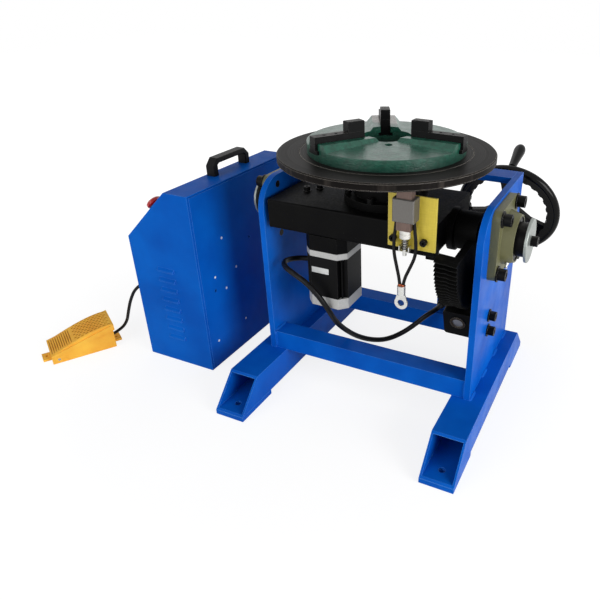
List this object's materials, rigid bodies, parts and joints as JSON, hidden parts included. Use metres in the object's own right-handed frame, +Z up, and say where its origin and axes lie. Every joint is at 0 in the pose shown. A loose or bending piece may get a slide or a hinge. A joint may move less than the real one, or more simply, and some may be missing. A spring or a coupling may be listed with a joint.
{
  "type": "welding positioner",
  "caption": "Tilting welding turntable with a self-centring chuck on a steel frame, worm and sector tilt, handwheel, control box and foot pedal.",
  "frame": {"origin": "on the floor, in the middle of the four floor bolt holes", "axes": "+X along the tilt axis towards the handwheel side plate, -Y towards the operator, +Z up"},
  "size_m": [1.0468, 0.6573, 0.5587],
  "materials": {
    "beam": "as the real piece",
    "bearing_housings": "as the real piece",
    "bearing_inner_rings": "as the real piece",
    "brush_clip": "as the real piece",
    "brush_holder": "as the real piece",
    "brush_lead_left": "as the real piece",
    "brush_lead_right": "as the real piece",
    "brush_nut": "as the real piece",
    "brush_plate": "as the real piece",
    "brush_spring": "as the real piece",
    "cabinet": "as the real piece",
    "cabinet_cover": "as the real piece",
    "cable_socket_bracket": "as the real piece",
    "cable_sockets": "as the real piece",
    "carrying_handle": "as the real piece",
    "chuck_body": "as the real piece",
    "chuck_jaw_1": "as the real piece",
    "chuck_jaw_2": "as the real piece",
    "chuck_jaw_3": "as the real piece",
    "chuck_screws": "as the real piece",
    "direction_switch": "as the real piece",
    "emergency_stop": "as the real piece",
    "foot_pads": "as the real piece",
    "foot_tubes": "as the real piece",
    "frame_screws": "as the real piece",
    "front_cross_tube": "as the real piece",
    "grease_nipples": "as the real piece",
    "ground_brush": "as the real piece",
    "handwheel": "as the real piece",
    "handwheel_fasteners": "as the real piece",
    "handwheel_grip": "as the real piece",
    "motor_adapter": "as the real piece",
    "motor_body": "as the real piece",
    "motor_cable": "as the real piece",
    "motor_cable_gland": "as the real piece",
    "motor_front_cap": "as the real piece",
    "motor_rear_cap": "as the real piece",
    "panel_bushes": "as the real piece",
    "pedal_base": "as the real piece",
    "pedal_cord": "as the real piece",
    "pedal_pin": "as the real piece",
    "pedal_treadle": "as the real piece",
    "rear_cross_tube": "as the real piece",
    "ring_lug": "as the real piece",
    "sector_gear": "as the real piece",
    "shaft_discs": "as the real piece",
    "side_plate_left": "as the real piece",
    "side_plate_right": "as the real piece",
    "speed_knob": "as the real piece",
    "spindle": "as the real piece",
    "spindle_housing": "as the real piece",
    "tilt_head_screws": "as the real piece",
    "top_bar": "as the real piece",
    "trunnions": "as the real piece",
    "turntable": "as the real piece",
    "worm_bushes": "as the real piece",
    "worm_housing": "as the real piece",
    "worm_shaft": "as the real piece"
  },
  "bodies": {
    "frame": {"foot_tubes": "foot_tubes", "foot_pads": "foot_pads", "front_cross_tube": "front_cross_tube", "rear_cross_tube": "rear_cross_tube", "side_plate_left": "side_plate_left", "side_plate_right": "side_plate_right", "top_bar": "top_bar", "bearing_housings": "bearing_housings", "frame_screws": "frame_screws", "grease_nipples": "grease_nipples", "worm_housing": "worm_housing", "worm_bushes": "worm_bushes", "cable_socket_bracket": "cable_socket_bracket", "cable_sockets": "cable_sockets", "cabinet": "cabinet", "cabinet_cover": "cabinet_cover", "carrying_handle": "carrying_handle", "panel_bushes": "panel_bushes", "pedal_base": "pedal_base", "pedal_pin": "pedal_pin", "pedal_cord": "pedal_cord", "motor_cable": "motor_cable"},
    "tilt_head": {"beam": "beam", "trunnions": "trunnions", "bearing_inner_rings": "bearing_inner_rings", "shaft_discs": "shaft_discs", "sector_gear": "sector_gear", "spindle_housing": "spindle_housing", "tilt_head_screws": "tilt_head_screws", "motor_adapter": "motor_adapter", "motor_front_cap": "motor_front_cap", "motor_body": "motor_body", "motor_rear_cap": "motor_rear_cap", "motor_cable_gland": "motor_cable_gland", "brush_plate": "brush_plate", "brush_holder": "brush_holder", "ground_brush": "ground_brush", "brush_nut": "brush_nut", "brush_spring": "brush_spring", "brush_clip": "brush_clip", "brush_lead_left": "brush_lead_left", "brush_lead_right": "brush_lead_right", "ring_lug": "ring_lug"},
    "turntable": {"turntable": "turntable", "spindle": "spindle", "chuck_body": "chuck_body", "chuck_screws": "chuck_screws"},
    "jaw_1": {"chuck_jaw_1": "chuck_jaw_1"},
    "jaw_2": {"chuck_jaw_2": "chuck_jaw_2"},
    "jaw_3": {"chuck_jaw_3": "chuck_jaw_3"},
    "handwheel": {"worm_shaft": "worm_shaft", "handwheel": "handwheel", "handwheel_fasteners": "handwheel_fasteners"},
    "grip": {"handwheel_grip": "handwheel_grip"},
    "emergency_stop": {"emergency_stop": "emergency_stop"},
    "speed_knob": {"speed_knob": "speed_knob"},
    "direction_switch": {"direction_switch": "direction_switch"},
    "treadle": {"pedal_treadle": "pedal_treadle"}
  },
  "joints": [
    {"name": "tilt", "type": "hinge", "parent": "frame", "child": "tilt_head", "pos_m": [0, 0.019, 0.368], "axis": [1, 0, 0], "range_deg": [0, 90], "deforming": ["motor_cable"]},
    {"name": "table_spin", "type": "hinge", "parent": "tilt_head", "child": "turntable", "pos_m": [0, 0.019, 0.49], "axis": [0, 0, 1], "continuous": true},
    {"name": "worm_turn", "type": "hinge", "parent": "frame", "child": "handwheel", "pos_m": [0.169, 0.06737, 0.22087], "axis": [0, 0.95, 0.3123], "range_deg": [-9090, 0]},
    {"name": "grip_spin", "type": "hinge", "parent": "handwheel", "child": "grip", "pos_m": [0.17273, 0.29142, 0.4071], "axis": [0, 0.95, 0.3123], "continuous": true},
    {"name": "stop_press", "type": "slide", "parent": "frame", "child": "emergency_stop", "axis": [0.6883, 0, -0.7255], "range_m": [0, 0.005], "stiffness_N_per_m": 2000},
    {"name": "speed_turn", "type": "hinge", "parent": "frame", "child": "speed_knob", "pos_m": [-0.4655, -0.03, 0.3485], "axis": [-0.6883, 0, 0.7255], "range_deg": [0, 270]},
    {"name": "direction_turn", "type": "hinge", "parent": "frame", "child": "direction_switch", "pos_m": [-0.4655, 0.035, 0.3485], "axis": [-0.6883, 0, 0.7255], "range_deg": [-45, 45]},
    {"name": "treadle_press", "type": "hinge", "parent": "frame", "child": "treadle", "pos_m": [-0.68056, -0.25913, 0.009], "axis": [-0.8536, 0.521, 0], "range_deg": [0, 2], "stiffness_Nm_per_rad": 150},
    {"name": "jaw_1_slide", "type": "slide", "parent": "turntable", "child": "jaw_1", "axis": [0.9986, -0.0523, 0], "range_m": [-0.03, 0.04]},
    {"name": "jaw_2_slide", "type": "slide", "parent": "turntable", "child": "jaw_2", "axis": [-0.454, 0.891, 0], "range_m": [-0.03, 0.04]},
    {"name": "jaw_3_slide", "type": "slide", "parent": "turntable", "child": "jaw_3", "axis": [-0.5446, -0.8387, 0], "range_m": [-0.03, 0.04]}
  ],
  "couplings": [
    {"joint": "worm_turn", "follows": "tilt", "ratio": -101},
    {"joint": "jaw_2_slide", "follows": "jaw_1_slide", "ratio": 1},
    {"joint": "jaw_3_slide", "follows": "jaw_1_slide", "ratio": 1}
  ]
}
